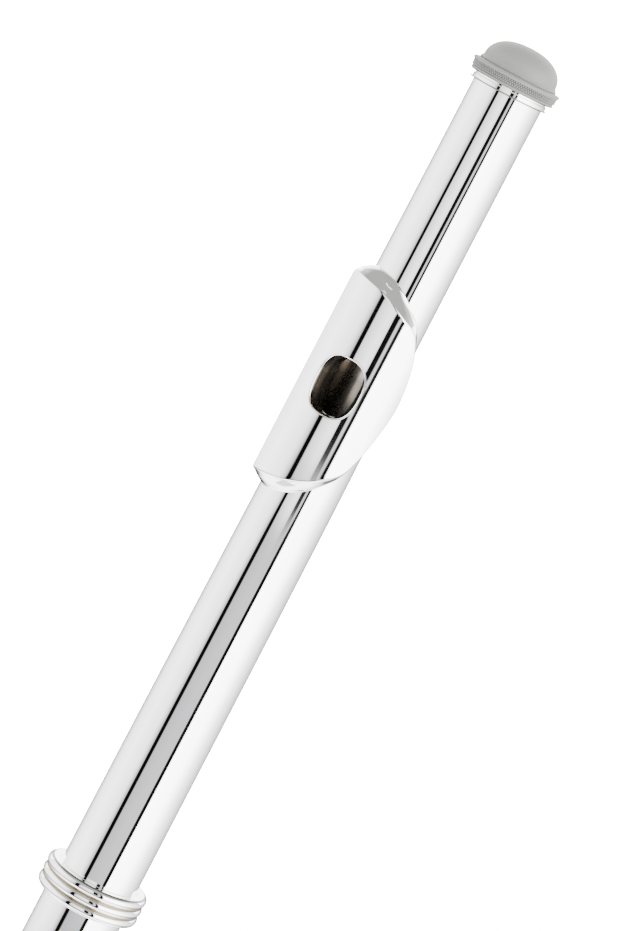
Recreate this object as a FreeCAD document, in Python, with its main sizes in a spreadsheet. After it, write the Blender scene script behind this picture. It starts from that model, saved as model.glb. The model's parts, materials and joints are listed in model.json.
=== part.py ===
import FreeCAD, Part
import math
import os
import Sketcher

# Concert flute, standing on its foot joint: +Z runs up the tube to the crown, the embouchure hole and
# the finger keys face -Y, and the player is on the -X side. The origin is the centre of the foot's mouth.
# Lengths are in millimetres.

DOC = FreeCAD.newDocument("ConcertFlute")
SIZES = DOC.addObject("Spreadsheet::Sheet", "Sizes")
NODES = []

DIMENSIONS = {
    # scale: the embouchure's distance from the foot's mouth, and the length that the semitones divide
    "embouchure_height": 600, "scale_length": 640,
    # main tube
    "bore_radius": 9.5, "wall": 0.4, "seam": 0.03, "joint_gap": 1,
    "foot_tube_top": 110.9, "socket_base": 110.4, "socket_top": 123, "body_top": 430,
    "sleeve_wall": 0.47, "barrel_base": 424, "barrel_top": 466.8,
    # head joint
    "tenon_base": 432, "tenon_top": 480, "taper_base": 562, "crown_base": 677.5,
    "tenon_radius": 9.9, "taper_radius": 9.5, "embouchure_radius": 9.05, "crown_end_radius": 8.8,
    "hole_length": 14, "hole_width": 11.8,
    "plate_radius": 14, "plate_thick": 0.95, "plate_hem": 4.5, "riser_wall": 0.8,
    "plate_near": 11.4, "plate_far": 13.2, "plate_top": 27.2, "plate_base": 28, "plate_slope": 1.5,
    "shoulder_side": 10, "shoulder_top": 21, "shoulder_base": 19.7, "plate_tip": 6, "plate_span": 60,
    # crown, from its collar up
    "plug_radius": 8.3, "plug_depth": 5, "collar_radius": 9.85, "collar_height": 1.6,
    "groove_radius": 9.2, "groove_height": 0.6, "band_radius": 11.2, "band_height": 2.8,
    "ring_radius": 9.9, "ring_height": 0.6, "dome_radius": 9.4, "dome_height": 6.6,
    "crown_hole_depth": 11,
    # stopper
    "screw_radius": 2, "screw_play": 0.05, "screw_base": 622.6, "screw_top": 681,
    "cork_base": 618.6, "cork_top": 634.6, "cork_radius": 8.45,
    "stopper_plate_radius": 8.4, "stopper_plate_base": 617.4, "nut_radius": 6, "nut_height": 2.2,
    # barrel rings, from the lowest to the top one
    "bead_radius": 1.3, "bead_pitch": 2.5, "bead_centre": 11.85, "top_bead_radius": 1.25,
    "core_inset": 0.3,
    # tone holes and pads
    "seat_height": 12.1, "chimney_wall": 0.6, "pad_lap": 1.2, "pad_thick": 2.4, "cup_wall": 0.5,
    "cup_height": 3.3, "pad_play": 0.06, "upper_hole": 6.6, "middle_hole": 6.9, "lower_hole": 7.4,
    "foot_hole": 7.8, "trill_hole": 3.9, "small_hole": 3.3,
    "small_c_height": 350, "d_trill_height": 364, "d_sharp_trill_height": 379, "thumb_height": 310,
    # keywork: each hinge line's place beside its cups, and its turn about the tube
    "axis_side": 13.5, "axis_front": 11.5, "trill_side": 8.9, "trill_front": 15.35,
    "g_turn": 18, "back_turn": 180, "trill_turn": -99.6, "key_lift": 11,
    "rod_radius": 1, "rod_play": 0.05, "hinge_radius": 1.7, "end_play": 0.15,
    "post_radius": 1.1, "post_ball": 1.75, "post_foot": 2, "foot_rise": 0.8,
    "post_beyond": 10.6, "post_inset": 2.2, "rod_beyond": 2, "small_post_beyond": 9,
    "arm_root": 5, "arm_tip": 2, "arm_thick": 1.2, "arm_lap": 0.2,
    # finger touches of the trill keys
    "touch_width": 5, "touch_thick": 1.3, "trill_touch_side": 18.2, "trill_touch_front": 18.9,
    "trill_touch_end": 3.5, "trill_strap_end": 5.2, "sharp_touch_height": 146.2,
    "trill_touch_height": 174, "trill_post_height": 140.4, "trill_heel_top": 164,
    # G sharp key's lever
    "lever_side": 15.6, "lever_front": 7, "lever_width": 9, "lever_length": 15, "lever_height": 246.5,
    "lever_root": 2.4, "lever_post_height": 256,
    # foot keys' paddle and touches
    "paddle_length": 10, "paddle_reach": 23, "paddle_front": 12.4, "paddle_base": 95,
    "foot_touch_reach": 12.5, "foot_touch_front": 15.6, "foot_touch_root": 2, "foot_touch_depth": 3.4,
    "low_touch_base": 50, "high_touch_base": 83, "touch_to_post": 2.1,
    # foot joint's end ring
    "end_ring_wall": 0.8, "end_ring_height": 2.4,
    # how far a cutting tool runs past what it cuts
    "overshoot": 1,
}


def fill_sheet():
    """Puts each driving dimension in a cell of its own, under its alias."""
    for row, (alias, value) in enumerate(DIMENSIONS.items(), start=1):
        SIZES.set(f"A{row}", alias)
        SIZES.set(f"B{row}", str(value))
        SIZES.setAlias(f"B{row}", alias)
    DOC.recompute()


def size(alias):
    """The name of a driving dimension as expressions write it."""
    return f"Sizes.{alias}"


def value(rule):
    """The number that an expression gives."""
    return float(SIZES.evalExpression(str(rule)))


def bind(piece, rules):
    """Binds properties of a piece to expressions. x, y and z stand for its place."""
    places = {"x": "Placement.Base.x", "y": "Placement.Base.y", "z": "Placement.Base.z"}
    for name, rule in rules.items():
        piece.setExpression(places.get(name, name), str(rule))
    return piece


def node(piece, label):
    """Names a finished sub-part."""
    piece.Label = label
    NODES.append(piece)


# ---- building blocks ----

def cylinder(radius, length, x="0", y="0", z="0"):
    """A cylinder along +Z."""
    piece = DOC.addObject("Part::Cylinder", "Cylinder")
    return bind(piece, {"Radius": radius, "Height": length, "x": x, "y": y, "z": z})


def upright_turn(degrees):
    """A turn about the tube's axis."""
    return FreeCAD.Rotation(FreeCAD.Vector(0, 0, 1), degrees)


def spoke(radius, low, high, height, turn=0.0):
    """A cylinder that points out of the tube, from one distance to another from the tube's axis.

    It faces -Y before it is turned about the tube's axis.
    """
    piece = DOC.addObject("Part::Cylinder", "Spoke")
    facing = FreeCAD.Rotation(FreeCAD.Vector(1, 0, 0), 90)
    piece.Placement.Rotation = upright_turn(turn).multiply(facing)
    return bind(piece, {"Radius": radius, "Height": f"{high} - ({low})", "z": height,
                        "x": f"({low}) * sin({turn} * 1 deg)", "y": f"-({low}) * cos({turn} * 1 deg)"})


def box(length, width, height, x, y, z):
    """A box with its lowest corner at x, y, z."""
    piece = DOC.addObject("Part::Box", "Box")
    return bind(piece, {"Length": length, "Width": width, "Height": height, "x": x, "y": y, "z": z})


def ball(radius, x, y, z):
    """A sphere."""
    piece = DOC.addObject("Part::Sphere", "Sphere")
    return bind(piece, {"Radius": radius, "x": x, "y": y, "z": z})


def fused(pieces):
    """One solid of several pieces that meet."""
    if len(pieces) == 1:
        return pieces[0]
    whole = DOC.addObject("Part::MultiFuse", "Fusion")
    whole.Shapes = pieces
    return whole


def grouped(pieces):
    """Separate solids kept together in one sub-part."""
    group = DOC.addObject("Part::Compound", "Group")
    group.Links = pieces
    return group


def cut(base, tools):
    """What is left of the base once the tools are taken away."""
    rest = DOC.addObject("Part::Cut", "Cut")
    rest.Base = base
    rest.Tool = fused(tools)
    return rest


def shared(one, other):
    """The space that two pieces share."""
    both = DOC.addObject("Part::Common", "Common")
    both.Base = one
    both.Tool = other
    return both


def origin_plane(body, role):
    """One of a body's own origin planes."""
    return next(each for each in body.Origin.OriginFeatures if each.Role == role)


def closed_sketch(body, plane, corners, arc_side=None):
    """A closed outline through corners given as pairs of expressions, each bound by its two distances.

    The side that starts at the corner numbered arc_side is an arc centred on the upright axis.
    """
    sketch = body.newObject("Sketcher::SketchObject", "Outline")
    sketch.AttachmentSupport = [(origin_plane(body, plane), "")]
    sketch.MapMode = "FlatFace"
    points = [FreeCAD.Vector(value(across), value(up), 0) for across, up in corners]
    count = len(points)
    for index, point in enumerate(points):
        following = points[(index + 1) % count]
        if index == arc_side:
            rise = following.y - point.y
            centre_height = following.y - (point.x ** 2 + rise ** 2) / (2 * rise)
            radius = following.y - centre_height
            start = math.atan2(point.y - centre_height, point.x)
            circle = Part.Circle(FreeCAD.Vector(0, centre_height, 0), FreeCAD.Vector(0, 0, 1), radius)
            sketch.addGeometry(Part.ArcOfCircle(circle, start, math.pi / 2))
        else:
            sketch.addGeometry(Part.LineSegment(point, following))
    for index in range(count):
        sketch.addConstraint(Sketcher.Constraint("Coincident", index, 2, (index + 1) % count, 1))
    if arc_side is not None:
        sketch.addConstraint(Sketcher.Constraint("PointOnObject", arc_side, 3, -2))
    for index, (across, up) in enumerate(corners):
        hold_point(sketch, index, "DistanceX", across, points[index].x, -2)
        hold_point(sketch, index, "DistanceY", up, points[index].y, -1)
    return sketch


def hold_point(sketch, index, kind, rule, distance, axis):
    """Binds one coordinate of an outline's corner to an expression, or to the axis where it is zero."""
    if abs(distance) < 1e-9:
        sketch.addConstraint(Sketcher.Constraint("PointOnObject", index, 1, axis))
        return
    number = sketch.addConstraint(Sketcher.Constraint(kind, -1, 1, index, 1, distance))
    sketch.setExpression(f"Constraints[{number}]", str(rule))


def turned(corners, arc_side=None):
    """A body of revolution about the tube's axis, from corners given as (radius, height)."""
    body = DOC.addObject("PartDesign::Body", "Body")
    sketch = closed_sketch(body, "XZ_Plane", corners, arc_side)
    turn = body.newObject("PartDesign::Revolution", "Revolution")
    turn.Profile = sketch
    turn.ReferenceAxis = (sketch, ["V_Axis"])
    turn.Angle = 360
    body.Tip = turn
    return body


def tube_wall(inner, outer, low, high):
    """Corners of a plain tube's section."""
    return [(inner, low), (outer, low), (outer, high), (inner, high)]


def padded(corners, depth):
    """A body extruded towards -Y from the upright plane through the tube's axis."""
    body = DOC.addObject("PartDesign::Body", "Body")
    pad = body.newObject("PartDesign::Pad", "Pad")
    pad.Profile = closed_sketch(body, "XZ_Plane", corners)
    pad.setExpression("Length", str(depth))
    body.Tip = pad
    DOC.recompute()
    if pad.Shape.BoundBox.YMin > -value(depth) / 2:
        pad.Reversed = True
    return body


def slot(reach, extra="0"):
    """The embouchure hole's outline as a solid that runs forward from the tube's axis."""
    radius = f"{size('hole_width')} / 2 + {extra}"
    offset = f"({size('hole_length')} - {size('hole_width')}) / 2"
    height = size("embouchure_height")
    upper = spoke(radius, "0", reach, f"{height} + {offset}")
    lower = spoke(radius, "0", reach, f"{height} - {offset}")
    middle = box(f"2 * ({radius})", reach, f"2 * ({offset})", f"-({radius})", f"-({reach})",
                 f"{height} - {offset}")
    return fused([upper, lower, middle])


# ---- head joint ----

def head_outline(inset):
    """Corners of the head tube's outer taper, drawn in by the inset, closed along the axis."""
    stations = [("tenon_radius", size("tenon_base")), ("tenon_radius", size("tenon_top")),
                ("taper_radius", size("taper_base")),
                ("embouchure_radius", size("embouchure_height")),
                ("crown_end_radius", size("crown_base"))]
    side = [(f"{size(radius)} - {inset}", height) for radius, height in stations]
    return [("0", side[0][1])] + side + [("0", side[-1][1])]


def plate_block(radius, inset):
    """The saddle under the lip plate's surface, drawn in by the inset all round."""
    near, far = f"-({size('plate_near')} - {inset})", f"{size('plate_far')} - {inset}"
    top, base = f"{size('plate_top')} - {inset}", f"-({size('plate_base')} - {inset})"
    side = f"{size('shoulder_side')} - {inset}"
    corners = [(near, base), (near, top), ("0", f"{top} - {size('plate_slope')}"),
               (side, f"{size('shoulder_top')} - {inset}"), (far, size("plate_tip")), (far, "0"),
               (side, f"-({size('shoulder_base')} - {inset})"), ("0", f"{base} + {size('plate_slope')}")]
    outline = padded([(across, f"{size('embouchure_height')} + {up}") for across, up in corners],
                     "2 * " + size("plate_radius"))
    span = size("plate_span")
    base_height = f"{size('embouchure_height')} - {span} / 2"
    hem = box(span, span, span, f"-{span} / 2", f"-{size('plate_hem')} + {inset}", base_height)
    drum = cylinder(radius, span, z=base_height)
    return cut(shared(drum, outline), [hem])


def build_head_joint():
    """The head tube, the riser round the embouchure hole and the lip plate on it."""
    reach = f"{size('plate_radius')} + {size('overshoot')}"
    outside = turned(head_outline("0"))
    node(cut(outside, [turned(head_outline(size("wall"))), slot(reach)]), "head_tube")

    plate, thick, span = size("plate_radius"), size("plate_thick"), size("plate_span")
    under_plate = cylinder(f"{plate} - {thick}", span, z=f"{size('embouchure_height')} - {span} / 2")
    chimney = shared(slot(reach, size("riser_wall")), under_plate)
    node(cut(chimney, [slot(reach), outside]), "riser")

    cavity = plate_block(f"{plate} - {thick}", thick)
    node(cut(plate_block(plate, "0"), [cavity, slot(reach), outside]), "lip_plate")


def build_crown():
    """The crown, with its plug in the tube's end and the stopper screw's hole."""
    base = size("crown_base")
    steps = [("collar_radius", "collar_height"), ("groove_radius", "groove_height"),
             ("band_radius", "band_height"), ("ring_radius", "ring_height")]
    hole = f"{size('screw_radius')} + {size('screw_play')}"
    plug_end = f"{base} - {size('plug_depth')}"
    corners = [(hole, plug_end), (size("plug_radius"), plug_end), (size("plug_radius"), base)]
    level = base
    for radius, height in steps:
        corners.append((size(radius), level))
        level = f"{level} + {size(height)}"
        corners.append((size(radius), level))
    dome_start = len(corners)
    hole_end = f"{plug_end} + {size('crown_hole_depth')}"
    corners += [(size("dome_radius"), level), ("0", f"{level} + {size('dome_height')}"),
                ("0", hole_end), (hole, hole_end)]
    node(turned(corners, arc_side=dome_start), "crown")


def build_stopper():
    """The cork with its plates on the screw that the crown turns."""
    top, base, screw = size("cork_top"), size("cork_base"), size("screw_radius")
    node(cylinder(screw, f"{size('screw_top')} - {size('screw_base')}", z=size("screw_base")),
         "stopper_screw")
    plate = cylinder(size("stopper_plate_radius"), f"{base} - {size('stopper_plate_base')}",
                     z=size("stopper_plate_base"))
    node(plate, "stopper_plate")
    cork = cylinder(size("cork_radius"), f"{top} - {base}", z=base)
    well = cylinder(screw, f"{top} - {size('screw_base')}", z=size("screw_base"))
    node(cut(cork, [well]), "stopper_cork")
    nut = cylinder(size("nut_radius"), size("nut_height"), z=top)
    node(cut(nut, [cylinder(screw, size("nut_height"), z=top)]), "stopper_nut")


# ---- tubes ----

def station(semitones):
    """The height of the tone hole that sounds this many semitones above the lowest note."""
    return f"{size('scale_length')} * (1 - 2 ^ (-{semitones} / 12))"


# Each tone hole: its height, its radius and its turn about the tube.
FOOT_HOLES = [(station(1), "foot_hole", 0), (station(2), "foot_hole", 0), (station(3), "foot_hole", 0)]
FRONT_HOLES = [(station(4), "lower_hole", 0), (station(5), "lower_hole", 0),
               (station(6), "lower_hole", 0), (station(7), "middle_hole", 0),
               (station(10), "upper_hole", 0), (station(11), "upper_hole", 0),
               (station(12), "upper_hole", 0), (size("small_c_height"), "small_hole", 0)]
G_HOLES = [(station(8), "middle_hole", DIMENSIONS["g_turn"]),
           (station(9), "middle_hole", DIMENSIONS["g_turn"])]
BACK_HOLES = [(station(8), "middle_hole", DIMENSIONS["back_turn"]),
              (size("thumb_height"), "upper_hole", DIMENSIONS["back_turn"])]
TRILL_HOLES = [(size("d_trill_height"), "trill_hole", DIMENSIONS["trill_turn"]),
               (size("d_sharp_trill_height"), "trill_hole", DIMENSIONS["trill_turn"])]


def holed_tube(low, high, holes):
    """A length of the cylindrical tube with its tone holes drawn up to their seats."""
    outer = f"{size('bore_radius')} + {size('wall')}"
    length = f"{high} - {low}"
    chimneys = [spoke(f"{size(hole)} + {size('chimney_wall')}", "0", size("seat_height"), height, turn)
                for height, hole, turn in holes]
    openings = [spoke(size(hole), "0", f"{size('seat_height')} + {size('overshoot')}", height, turn)
                for height, hole, turn in holes]
    bore = cylinder(size("bore_radius"), length, z=low)
    return cut(fused([cylinder(outer, length, z=low)] + chimneys), [bore] + openings)


def build_body_tube():
    """The body joint's tube, its barrel and the barrel's three rings."""
    low = f"{size('foot_tube_top')} + {size('joint_gap')}"
    holes = FRONT_HOLES + G_HOLES + BACK_HOLES + TRILL_HOLES
    node(holed_tube(low, size("body_top"), holes), "body_tube")

    tube, socket = size("tenon_radius"), f"{size('tenon_radius')} + {size('seam')}"
    outer = f"{socket} + {size('sleeve_wall')}"
    base, step, top = size("barrel_base"), size("body_top"), size("barrel_top")
    sleeve = turned([(tube, base), (outer, base), (outer, top), (socket, top), (socket, step), (tube, step)])
    node(sleeve, "barrel_sleeve")

    inset = size("core_inset")
    core_base = f"{top} - 2 * {size('bead_pitch')} - 2 * {size('top_bead_radius')} + {inset}"
    rings = [cylinder(f"{size('bead_centre')} - {inset}", f"{top} - {inset} - ({core_base})", z=core_base)]
    for place, radius in enumerate(["top_bead_radius", "bead_radius", "bead_radius"]):
        ring = DOC.addObject("Part::Torus", "Ring")
        rings.append(bind(ring, {"Radius1": size("bead_centre"), "Radius2": size(radius),
                                 "z": f"{top} - {size('top_bead_radius')} - {place} * {size('bead_pitch')}"}))
    node(cut(fused(rings), [cylinder(outer, f"{top} - {base}", z=base)]), "barrel_rings")


def build_foot_tube():
    """The foot joint's tube, the socket that takes the body's tenon and the ring at the mouth."""
    node(holed_tube("0", size("foot_tube_top"), FOOT_HOLES), "foot_tube")
    tube, socket = size("tenon_radius"), f"{size('tenon_radius')} + {size('seam')}"
    outer = f"{socket} + {size('sleeve_wall')}"
    base, step, top = size("socket_base"), size("foot_tube_top"), size("socket_top")
    node(turned([(tube, base), (outer, base), (outer, top), (socket, top), (socket, step), (tube, step)]),
         "foot_socket")
    ring = f"{tube} + {size('end_ring_wall')}"
    node(turned(tube_wall(tube, ring, "0", size("end_ring_height"))), "foot_end_ring")


# ---- keywork ----

class HingeLine:
    """A rod's axis beside the tube: across and out from its cups' centre line, then turned about the tube."""

    def __init__(self, side, front, turn):
        self.turn = turn
        self.side = side
        self.x = f"{side} * cos({turn} * 1 deg) + {front} * sin({turn} * 1 deg)"
        self.y = f"{side} * sin({turn} * 1 deg) - {front} * cos({turn} * 1 deg)"
        self.away = turn + math.degrees(math.atan2(value(side), value(front)))
        self.distance = f"sqrt(({side}) ^ 2 + ({front}) ^ 2)"

    def rod(self, radius, low, high):
        """A round bar along the line."""
        return cylinder(radius, f"{high} - ({low})", self.x, self.y, low)

    def post(self, height):
        """A post from inside the tube's wall to its ball on the line."""
        tube = size("bore_radius")
        shank = spoke(size("post_radius"), tube, self.distance, height, self.away)
        foot_end = f"{size('tenon_radius')} + {size('foot_rise')}"
        foot = spoke(size("post_foot"), tube, foot_end, height, self.away)
        return fused([shank, foot, ball(size("post_ball"), self.x, self.y, height)])


def build_posts(label, lines, tube_low, tube_high):
    """Posts on the tube's wall, bored for their rods. lines holds (line, heights, bore radius)."""
    posts = [line.post(height) for line, heights, _ in lines for height in heights]
    tube = cylinder(size("tenon_radius"), f"{tube_high} - {tube_low}", z=tube_low)
    bores = [line.rod(radius, tube_low, tube_high) for line, _, radius in lines]
    node(cut(fused(posts), [tube] + bores), label)


def arm(line, height):
    """A pointed arm from a line's hinge tube to the middle of the cup at this height."""
    piece = DOC.addObject("Part::Wedge", "Arm")
    if value(line.side) < 0:
        lie = FreeCAD.Rotation(FreeCAD.Vector(0, 0, 1), -90)
        reach = f"-({line.side})"
    else:
        lie = FreeCAD.Rotation(FreeCAD.Vector(1, -1, 0), 180)
        reach = line.side
    piece.Placement.Rotation = upright_turn(line.turn).multiply(lie)
    cup_top = f"{size('seat_height')} + {size('cup_height')}"
    drop = f"{line.distance} * cos({line.away - line.turn} * 1 deg)"
    rise = f"{cup_top} - {drop} - {size('arm_lap')}"
    root, tip = size("arm_root"), size("arm_tip")
    return bind(piece, {
        "Xmin": f"-{size('rod_radius')} / 2", "Xmax": size("hinge_radius"),
        "Ymin": "0", "Ymax": reach, "Zmin": f"-{root} / 2", "Zmax": f"{root} / 2",
        "X2min": rise, "X2max": f"{rise} + {size('arm_thick')}", "Z2min": f"-{tip} / 2",
        "Z2max": f"{tip} / 2", "x": line.x, "y": line.y, "z": height})


def swung(piece, line, degrees):
    """Swings a finished piece about its hinge line, away from the tube."""
    upright = FreeCAD.Rotation(FreeCAD.Vector(0, 0, 1), -degrees)
    piece.Placement = FreeCAD.Placement(FreeCAD.Vector(), upright,
                                        FreeCAD.Vector(value(line.x), value(line.y), 0))
    return piece


def build_key(label, line, holes, tube_ends, touches=(), lift=0.0, bored=True, extra=()):
    """A key: its cups and arms on a hinge tube, and a pad in each cup.

    holes are those that it covers, and tube_ends the heights of the hinge tube's ends. A key that
    stands open at rest is built closed and swung up by its lift.
    """
    cup_top = f"{size('seat_height')} + {size('cup_height')}"
    pad_face = f"{size('seat_height')} + {size('pad_play')}"
    pad_back = f"{pad_face} + {size('pad_thick')}"
    solids = [line.rod(size("hinge_radius"), *tube_ends)] + list(touches) + list(extra)
    wells, pads = [], []
    for height, hole, turn in holes:
        pad_radius = f"{size(hole)} + {size('pad_lap')}"
        brim = f"{pad_face} + {size('cup_wall')}"
        solids.append(spoke(f"{pad_radius} + {size('cup_wall')}", brim, cup_top, height, turn))
        solids.append(arm(line, height))
        wells.append(spoke(pad_radius, pad_face, pad_back, height, turn))
        pads.append(spoke(pad_radius, pad_face, pad_back, height, turn))
    if bored:
        low, high = tube_ends
        past = size("overshoot")
        bore = f"{size('rod_radius')} + {size('rod_play')}"
        wells.append(line.rod(bore, f"{low} - {past}", f"{high} + {past}"))
    node(swung(cut(fused(solids), wells), line, lift), label)
    node(swung(grouped(pads), line, lift), label.replace("_key", "_pad"))


def between(post_below, post_above):
    """The ends of a hinge tube that fills the space between two posts."""
    gap = f"{size('post_ball')} + {size('end_play')}"
    return f"{post_below} + {gap}", f"{post_above} - ({gap})"


def rod_along(line, posts):
    """A rod that runs a little past the first and last of its posts."""
    past = size("rod_beyond")
    return line.rod(size("rod_radius"), f"{posts[0]} - {past}", f"{posts[-1]} + {past}")


def midway(one, other):
    """The height halfway between two others."""
    return f"(({one}) + ({other})) / 2"


def build_main_keys():
    """The keys on the front of the body: the main line and the offset G line."""
    main = HingeLine(f"-{size('axis_side')}", size("axis_front"), 0)
    g_line = HingeLine(f"-{size('axis_side')}", size("axis_front"), DIMENSIONS["g_turn"])
    lower = [hole[0] for hole in FRONT_HOLES[:4]]
    upper = [hole[0] for hole in FRONT_HOLES[4:]]
    past, small = size("post_beyond"), size("small_post_beyond")
    lower_posts = [f"{size('socket_top')} + {size('post_inset')}"]
    lower_posts += [midway(*pair) for pair in zip(lower, lower[1:])] + [f"{lower[-1]} + {past}"]
    upper_posts = [f"{upper[0]} - {past}"] + [midway(*pair) for pair in zip(upper[:3], upper[1:3])]
    upper_posts += [f"{upper[2]} + {past}", f"{upper[3]} + {small}"]
    posts = lower_posts + upper_posts
    spans = list(zip(lower_posts, lower_posts[1:])) + list(zip(upper_posts, upper_posts[1:]))
    lift = DIMENSIONS["key_lift"]
    names = ["d_key", "e_key", "f_key", "f_sharp_key", "a_key", "b_flat_key", "c_key", "c_sharp_key"]
    for name, hole, span in zip(names, FRONT_HOLES, spans):
        build_key(name, main, [hole], between(*span), lift=lift)
    node(rod_along(main, posts), "main_rod")

    g_posts = [f"{G_HOLES[0][0]} - {past}", f"{G_HOLES[1][0]} + {past}"]
    build_key("g_key", g_line, G_HOLES, between(*g_posts), lift=lift)
    node(rod_along(g_line, g_posts), "g_rod")
    return [(main, posts, size("rod_radius")), (g_line, g_posts, size("rod_radius"))]


def build_back_keys():
    """The thumb key and the G sharp key with its lever, on one rod at the back."""
    line = HingeLine(f"-{size('axis_side')}", size("axis_front"), DIMENSIONS["back_turn"])
    past = size("post_beyond")
    posts = [f"{BACK_HOLES[0][0]} - {past}", size("lever_post_height"),
             f"{BACK_HOLES[1][0]} - {past}", f"{BACK_HOLES[1][0]} + {past}"]
    side, front, width, depth = (size(alias) for alias in
                                 ("lever_side", "lever_front", "touch_width", "lever_root"))
    thick, hinge_side, hinge_depth = size("touch_thick"), size("axis_side"), size("axis_front")
    strap_base = f"{size('lever_height')} - {width} / 2"
    strap = box(thick, f"{front} + {hinge_depth} + {depth} / 2", width, side, f"-{front}", strap_base)
    root = box(f"{side} + {thick} - {hinge_side}", depth, width, hinge_side,
               f"{hinge_depth} - {depth} / 2", strap_base)
    lever = box(thick, size("lever_width"), size("lever_length"), side, f"-{front}",
                f"{size('lever_height')} - {size('lever_length')} / 2")
    build_key("g_sharp_key", line, BACK_HOLES[:1], between(posts[0], posts[1]), [strap, root, lever])
    build_key("thumb_key", line, BACK_HOLES[1:], between(posts[2], posts[3]), lift=DIMENSIONS["key_lift"])
    node(rod_along(line, posts), "back_rod")
    return [(line, posts, size("rod_radius"))]


def trill_touch(height):
    """A trill key's touch: a strap up past the main line, and a finger piece across the tube."""
    side, front, thick = size("trill_touch_side"), size("trill_touch_front"), size("touch_thick")
    base = f"{height} - {size('touch_width')} / 2"
    width = size("touch_width")
    strap = box(thick, f"{front} - {size('trill_strap_end')}", width, f"-{side}", f"-{front}", base)
    piece = box(f"{side} - {size('trill_touch_end')}", thick, width, f"-{side}", f"-{front}", base)
    return [strap, piece]


def build_trill_keys():
    """The D trill key's long tube turns on the rod of the D sharp trill key."""
    line = HingeLine(size("trill_side"), size("trill_front"), DIMENSIONS["trill_turn"])
    posts = [size("trill_post_height"), midway(TRILL_HOLES[0][0], TRILL_HOLES[1][0]),
             f"{TRILL_HOLES[1][0]} + {size('small_post_beyond')}"]
    low, heel_top = between(*posts[:2])[0], size("trill_heel_top")
    heel = line.rod(size("hinge_radius"), low, heel_top)
    build_key("d_sharp_trill_key", line, TRILL_HOLES[1:], between(posts[1], posts[2]),
              trill_touch(size("sharp_touch_height")), bored=False, extra=[rod_along(line, posts), heel])
    tube_ends = (f"{heel_top} + {size('end_play')}", between(*posts[:2])[1])
    build_key("d_trill_key", line, TRILL_HOLES[:1], tube_ends, trill_touch(size("trill_touch_height")))
    return [(line, posts, f"{size('rod_radius')} + {size('rod_play')}")]


def foot_touch(base):
    """A foot key's touch: a plate over the tube's side and its root on the hinge tube."""
    side, front, width = size("axis_side"), size("foot_touch_front"), size("touch_width")
    plate = box(size("foot_touch_reach"), size("touch_thick"), width, f"-{side}", f"-{front}", base)
    root = box(size("foot_touch_root"), size("foot_touch_depth"), width, f"-{side}", f"-{front}", base)
    return [plate, root]


def build_foot_keys():
    """The three foot keys on their rod, with the little finger's paddle and touches."""
    line = HingeLine(f"-{size('axis_side')}", size("axis_front"), 0)
    width, low, high = size("touch_width"), size("low_touch_base"), size("high_touch_base")
    posts = [f"{FOOT_HOLES[0][0]} - {size('post_beyond')}", f"{low} + {width} + {size('touch_to_post')}",
             f"{high} + {width} + {size('touch_to_post')}", f"{size('socket_base')} - {size('post_inset')}"]
    paddle = box(f"{size('paddle_reach')} - {size('axis_side')}", size("touch_thick"),
                 size("paddle_length"), f"-{size('paddle_reach')}", f"-{size('paddle_front')}",
                 size("paddle_base"))
    lift = DIMENSIONS["key_lift"]
    build_key("low_c_key", line, FOOT_HOLES[:1], between(*posts[:2]), foot_touch(low), lift=lift)
    build_key("low_c_sharp_key", line, FOOT_HOLES[1:2], between(*posts[1:3]), foot_touch(high), lift=lift)
    build_key("d_sharp_key", line, FOOT_HOLES[2:], between(*posts[2:]), [paddle])
    node(rod_along(line, posts), "foot_rod")
    build_posts("foot_posts", [(line, posts, size("rod_radius"))], "0", size("foot_tube_top"))


def build_keywork():
    """Every key, rod and post."""
    lines = build_main_keys() + build_back_keys() + build_trill_keys()
    build_posts("body_posts", lines, size("socket_base"), size("body_top"))
    build_foot_keys()


def check_and_write():
    """Checks every object of the document and writes each sub-part's shape."""
    DOC.recompute()
    for piece in DOC.Objects:
        if "Invalid" in piece.State or "Error" in piece.State:
            raise RuntimeError(f"{piece.Name} ({piece.Label}) is {piece.State}")
    os.makedirs("parts", exist_ok=True)
    for piece in NODES:
        shape = piece.Shape
        if shape.isNull() or not shape.isValid() or not shape.Solids:
            raise RuntimeError(f"{piece.Label} has no valid solid")
        shape.exportStep(f"parts/{piece.Label}.step")
        print(f"{piece.Label}: {len(shape.Solids)} solids, {shape.Volume:.1f} mm3")


fill_sheet()
build_head_joint()
build_crown()
build_stopper()
build_body_tube()
build_foot_tube()
build_keywork()
check_and_write()
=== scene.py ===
"""A concert flute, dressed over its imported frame: head joint, body joint, foot joint and keywork."""
import json
import logging
import math
from dataclasses import dataclass
from enum import Enum

import bpy
from mathutils import Matrix, Vector


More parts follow.
